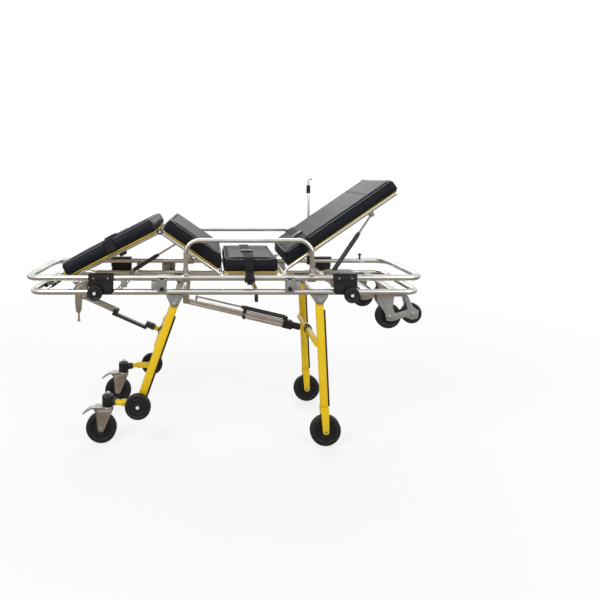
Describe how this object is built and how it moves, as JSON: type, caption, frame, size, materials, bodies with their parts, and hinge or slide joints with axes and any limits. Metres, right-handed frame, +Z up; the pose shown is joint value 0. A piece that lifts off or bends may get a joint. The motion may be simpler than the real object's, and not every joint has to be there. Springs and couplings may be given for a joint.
{
  "type": "ambulance cot",
  "caption": "Ambulance cot: a reclining stretcher with folding side rails on a wheeled undercarriage with folding legs, telescoping braces and loading wheels.",
  "frame": {"origin": "on the floor, under the middle of the cot", "axes": "+X to the head end, -Y to the near side, +Z up"},
  "size_m": [1.9598, 0.625, 1.3078],
  "materials": {
    "polished_aluminium": "polished, anodised",
    "plated_steel": "zinc plated, satin",
    "grey_casting": "die-cast, matt",
    "black_steel": "black painted, semi-gloss",
    "yellow_paint": "powder coated, glossy",
    "black_plastic": "moulded, fine texture",
    "black_tyre": "moulded rubber, matt",
    "black_vinyl": "coated vinyl, soft sheen",
    "black_webbing": "woven webbing"
  },
  "bodies": {
    "undercarriage": {"lower_frame": "polished_aluminium", "floor_lock_post": "plated_steel", "front_pivot_set": "grey_casting", "rear_pivot_set": "grey_casting", "load_bracket_near": "grey_casting", "load_bracket_far": "grey_casting"},
    "lever": {"release_lever": "black_plastic"},
    "front_legs": {"front_leg_frame": "yellow_paint"},
    "rear_legs": {"rear_leg_frame": "yellow_paint"},
    "front_channel": {"front_brace_channel": "plated_steel"},
    "front_bar": {"front_brace_bar": "black_steel"},
    "rear_bar": {"rear_brace_bar": "polished_aluminium", "rear_gas_rod": "plated_steel"},
    "rear_sleeve": {"rear_brace_sleeve": "polished_aluminium", "rear_gas_cylinder": "black_steel"},
    "stretcher": {"upper_frame": "polished_aluminium", "seat_cushion": "black_vinyl", "seat_belt": "black_webbing", "wheel_bracket_foot_near": "black_plastic", "wheel_bracket_foot_far": "black_plastic", "wheel_bracket_head_near": "black_plastic", "wheel_bracket_head_far": "black_plastic"},
    "back": {"back_frame": "polished_aluminium", "back_cushion": "black_vinyl", "chest_belt": "black_webbing"},
    "back_rod": {"back_spring_rod": "plated_steel"},
    "back_cylinder": {"back_spring_cylinder": "black_steel"},
    "thigh": {"thigh_frame": "polished_aluminium", "thigh_cushion": "black_vinyl"},
    "leg": {"leg_frame": "polished_aluminium", "leg_cushion": "black_vinyl", "leg_belt": "black_webbing"},
    "thigh_cylinder": {"thigh_spring_cylinder": "black_steel"},
    "thigh_rod": {"thigh_spring_rod": "plated_steel"},
    "pole": {"pole_tube": "polished_aluminium"},
    "hook": {"pole_hook": "plated_steel"},
    "caster_near": {"caster_yoke_near": "plated_steel"},
    "caster_wheel_near": {"caster_wheel_near": "black_tyre"},
    "brake_near": {"caster_brake_near": "plated_steel"},
    "aux_wheel_near": {"aux_wheel_near": "black_tyre"},
    "rear_wheel_near": {"rear_wheel_near": "black_tyre"},
    "load_wheel_big_near": {"load_wheel_big_near": "black_tyre"},
    "load_wheel_small_near": {"load_wheel_small_near": "black_tyre"},
    "stretcher_wheel_foot_near": {"stretcher_wheel_foot_near": "black_tyre"},
    "stretcher_wheel_head_near": {"stretcher_wheel_head_near": "black_tyre"},
    "rail_near": {"side_rail_near": "polished_aluminium"},
    "latch_foot_near": {"latch_knob_foot_near": "black_plastic"},
    "latch_head_near": {"latch_knob_head_near": "black_plastic"},
    "caster_far": {"caster_yoke_far": "plated_steel"},
    "caster_wheel_far": {"caster_wheel_far": "black_tyre"},
    "brake_far": {"caster_brake_far": "plated_steel"},
    "aux_wheel_far": {"aux_wheel_far": "black_tyre"},
    "rear_wheel_far": {"rear_wheel_far": "black_tyre"},
    "load_wheel_big_far": {"load_wheel_big_far": "black_tyre"},
    "load_wheel_small_far": {"load_wheel_small_far": "black_tyre"},
    "stretcher_wheel_foot_far": {"stretcher_wheel_foot_far": "black_tyre"},
    "stretcher_wheel_head_far": {"stretcher_wheel_head_far": "black_tyre"},
    "rail_far": {"side_rail_far": "polished_aluminium"},
    "latch_foot_far": {"latch_knob_foot_far": "black_plastic"},
    "latch_head_far": {"latch_knob_head_far": "black_plastic"}
  },
  "joints": [
    {"name": "stretcher_lift", "type": "slide", "parent": "undercarriage", "child": "stretcher", "axis": [0, 0, 1], "range_m": [0, 0.25]},
    {"name": "front_leg_fold", "type": "hinge", "parent": "undercarriage", "child": "front_legs", "pos_m": [-0.239, 0, 0.694], "axis": [0, 1, 0], "range_deg": [0, 50]},
    {"name": "rear_leg_fold", "type": "hinge", "parent": "undercarriage", "child": "rear_legs", "pos_m": [0.466, 0, 0.707], "axis": [0, 1, 0], "range_deg": [0, 80]},
    {"name": "front_brace_swing", "type": "hinge", "parent": "undercarriage", "child": "front_channel", "pos_m": [-0.741, 0, 0.669], "axis": [0, 1, 0], "range_deg": [-15.6, 0.2]},
    {"name": "front_brace_slide", "type": "slide", "parent": "front_channel", "child": "front_bar", "axis": [0.9142, 0, -0.4053], "range_m": [-0.166, 0.001]},
    {"name": "rear_brace_swing", "type": "hinge", "parent": "undercarriage", "child": "rear_bar", "pos_m": [-0.198, 0, 0.648], "axis": [0, 1, 0], "range_deg": [-17.4, 0.2]},
    {"name": "rear_brace_slide", "type": "slide", "parent": "rear_bar", "child": "rear_sleeve", "axis": [0.9737, 0, -0.2278], "range_m": [-0.218, 0.001]},
    {"name": "release_pull", "type": "hinge", "parent": "undercarriage", "child": "lever", "pos_m": [-0.884, 0, 0.751], "axis": [0, 1, 0], "range_deg": [0, 25], "stiffness_Nm_per_rad": 1},
    {"name": "caster_swivel_near", "type": "hinge", "parent": "front_legs", "child": "caster_near", "pos_m": [-0.572, -0.226, 0.2], "axis": [0, 0, 1], "continuous": true},
    {"name": "caster_roll_near", "type": "hinge", "parent": "caster_near", "child": "caster_wheel_near", "pos_m": [-0.604, -0.226, 0.075], "axis": [0, 1, 0], "continuous": true},
    {"name": "brake_press_near", "type": "hinge", "parent": "caster_near", "child": "brake_near", "pos_m": [-0.63, -0.226, 0.1677], "axis": [0, -1, 0], "range_deg": [0, 10]},
    {"name": "aux_wheel_roll_near", "type": "hinge", "parent": "front_legs", "child": "aux_wheel_near", "pos_m": [-0.415, -0.289, 0.204], "axis": [0, 1, 0], "continuous": true},
    {"name": "rear_wheel_roll_near", "type": "hinge", "parent": "rear_legs", "child": "rear_wheel_near", "pos_m": [0.495, -0.255, 0.075], "axis": [0, 1, 0], "continuous": true},
    {"name": "load_wheel_big_roll_near", "type": "hinge", "parent": "undercarriage", "child": "load_wheel_big_near", "pos_m": [0.812, -0.22, 0.625], "axis": [0, 1, 0], "continuous": true},
    {"name": "load_wheel_small_roll_near", "type": "hinge", "parent": "undercarriage", "child": "load_wheel_small_near", "pos_m": [0.927, -0.22, 0.637], "axis": [0, 1, 0], "continuous": true},
    {"name": "stretcher_wheel_foot_roll_near", "type": "hinge", "parent": "stretcher", "child": "stretcher_wheel_foot_near", "pos_m": [-0.621, -0.3, 0.752], "axis": [0, 1, 0], "continuous": true},
    {"name": "stretcher_wheel_head_roll_near", "type": "hinge", "parent": "stretcher", "child": "stretcher_wheel_head_near", "pos_m": [0.614, -0.3, 0.742], "axis": [0, 1, 0], "continuous": true},
    {"name": "side_rail_fold_near", "type": "hinge", "parent": "stretcher", "child": "rail_near", "pos_m": [0.12, -0.265, 0.82], "axis": [1, 0, 0], "range_deg": [0, 150]},
    {"name": "latch_pull_foot_near", "type": "slide", "parent": "stretcher", "child": "latch_foot_near", "axis": [0, -1, 0], "range_m": [0, 0.006], "stiffness_N_per_m": 400},
    {"name": "latch_pull_head_near", "type": "slide", "parent": "stretcher", "child": "latch_head_near", "axis": [0, -1, 0], "range_m": [0, 0.006], "stiffness_N_per_m": 400},
    {"name": "caster_swivel_far", "type": "hinge", "parent": "front_legs", "child": "caster_far", "pos_m": [-0.572, 0.226, 0.2], "axis": [0, 0, 1], "continuous": true},
    {"name": "caster_roll_far", "type": "hinge", "parent": "caster_far", "child": "caster_wheel_far", "pos_m": [-0.604, 0.226, 0.075], "axis": [0, 1, 0], "continuous": true},
    {"name": "brake_press_far", "type": "hinge", "parent": "caster_far", "child": "brake_far", "pos_m": [-0.63, 0.226, 0.1677], "axis": [0, -1, 0], "range_deg": [0, 10]},
    {"name": "aux_wheel_roll_far", "type": "hinge", "parent": "front_legs", "child": "aux_wheel_far", "pos_m": [-0.415, 0.289, 0.204], "axis": [0, 1, 0], "continuous": true},
    {"name": "rear_wheel_roll_far", "type": "hinge", "parent": "rear_legs", "child": "rear_wheel_far", "pos_m": [0.495, 0.255, 0.075], "axis": [0, 1, 0], "continuous": true},
    {"name": "load_wheel_big_roll_far", "type": "hinge", "parent": "undercarriage", "child": "load_wheel_big_far", "pos_m": [0.812, 0.22, 0.625], "axis": [0, 1, 0], "continuous": true},
    {"name": "load_wheel_small_roll_far", "type": "hinge", "parent": "undercarriage", "child": "load_wheel_small_far", "pos_m": [0.927, 0.22, 0.637], "axis": [0, 1, 0], "continuous": true},
    {"name": "stretcher_wheel_foot_roll_far", "type": "hinge", "parent": "stretcher", "child": "stretcher_wheel_foot_far", "pos_m": [-0.621, 0.3, 0.752], "axis": [0, 1, 0], "continuous": true},
    {"name": "stretcher_wheel_head_roll_far", "type": "hinge", "parent": "stretcher", "child": "stretcher_wheel_head_far", "pos_m": [0.614, 0.3, 0.742], "axis": [0, 1, 0], "continuous": true},
    {"name": "side_rail_fold_far", "type": "hinge", "parent": "stretcher", "child": "rail_far", "pos_m": [0.12, 0.265, 0.82], "axis": [-1, 0, 0], "range_deg": [0, 150]},
    {"name": "latch_pull_foot_far", "type": "slide", "parent": "stretcher", "child": "latch_foot_far", "axis": [0, 1, 0], "range_m": [0, 0.006], "stiffness_N_per_m": 400},
    {"name": "latch_pull_head_far", "type": "slide", "parent": "stretcher", "child": "latch_head_far", "axis": [0, 1, 0], "range_m": [0, 0.006], "stiffness_N_per_m": 400},
    {"name": "back_recline", "type": "hinge", "parent": "stretcher", "child": "back", "pos_m": [0.297, 0, 0.83], "axis": [0, -1, 0], "range_deg": [-34.5, 25.5]},
    {"name": "back_spring_swing", "type": "hinge", "parent": "back", "child": "back_rod", "pos_m": [0.75336, -0.15, 1.11938], "axis": [0, -1, 0], "range_deg": [-19.86, 14.73]},
    {"name": "back_spring_slide", "type": "slide", "parent": "back_rod", "child": "back_cylinder", "axis": [-0.5612, 0, -0.8277], "range_m": [-0.0943, 0.07]},
    {"name": "knee_gatch", "type": "hinge", "parent": "stretcher", "child": "thigh", "pos_m": [-0.015, 0, 0.83], "axis": [0, 1, 0], "range_deg": [-35, 0]},
    {"name": "knee_bend", "type": "hinge", "parent": "thigh", "child": "leg", "pos_m": [-0.31399, 0, 1.03936], "axis": [0, 1, 0], "range_deg": [-0.2, 62.4]},
    {"name": "thigh_spring_swing", "type": "hinge", "parent": "stretcher", "child": "thigh_cylinder", "pos_m": [-0.486, 0, 0.806], "axis": [0, 1, 0], "range_deg": [-0.2, 29.9]},
    {"name": "thigh_spring_slide", "type": "slide", "parent": "thigh_cylinder", "child": "thigh_rod", "axis": [0.8494, 0, 0.5278], "range_m": [-0.0825, 0.001]},
    {"name": "pole_fold", "type": "hinge", "parent": "stretcher", "child": "pole", "pos_m": [0.51, 0.273, 0.85], "axis": [0, 1, 0], "range_deg": [0, 90]},
    {"name": "pole_extend", "type": "slide", "parent": "pole", "child": "hook", "axis": [0, 0, 1], "range_m": [0, 0.3]}
  ],
  "couplings": [
    {"joint": "front_brace_swing", "follows": "front_leg_fold", "ratio": -0.3084},
    {"joint": "front_brace_slide", "follows": "front_leg_fold", "m_per_rad": -0.18887},
    {"joint": "rear_brace_swing", "follows": "rear_leg_fold", "ratio": -0.2151},
    {"joint": "rear_brace_slide", "follows": "rear_leg_fold", "m_per_rad": -0.15545},
    {"joint": "back_spring_swing", "follows": "back_recline", "ratio": 0.57},
    {"joint": "back_spring_slide", "follows": "back_recline", "m_per_rad": 0.155},
    {"joint": "knee_bend", "follows": "knee_gatch", "ratio": -1.7771},
    {"joint": "thigh_spring_swing", "follows": "knee_gatch", "ratio": -0.8495},
    {"joint": "thigh_spring_slide", "follows": "knee_gatch", "m_per_rad": 0.13364}
  ]
}
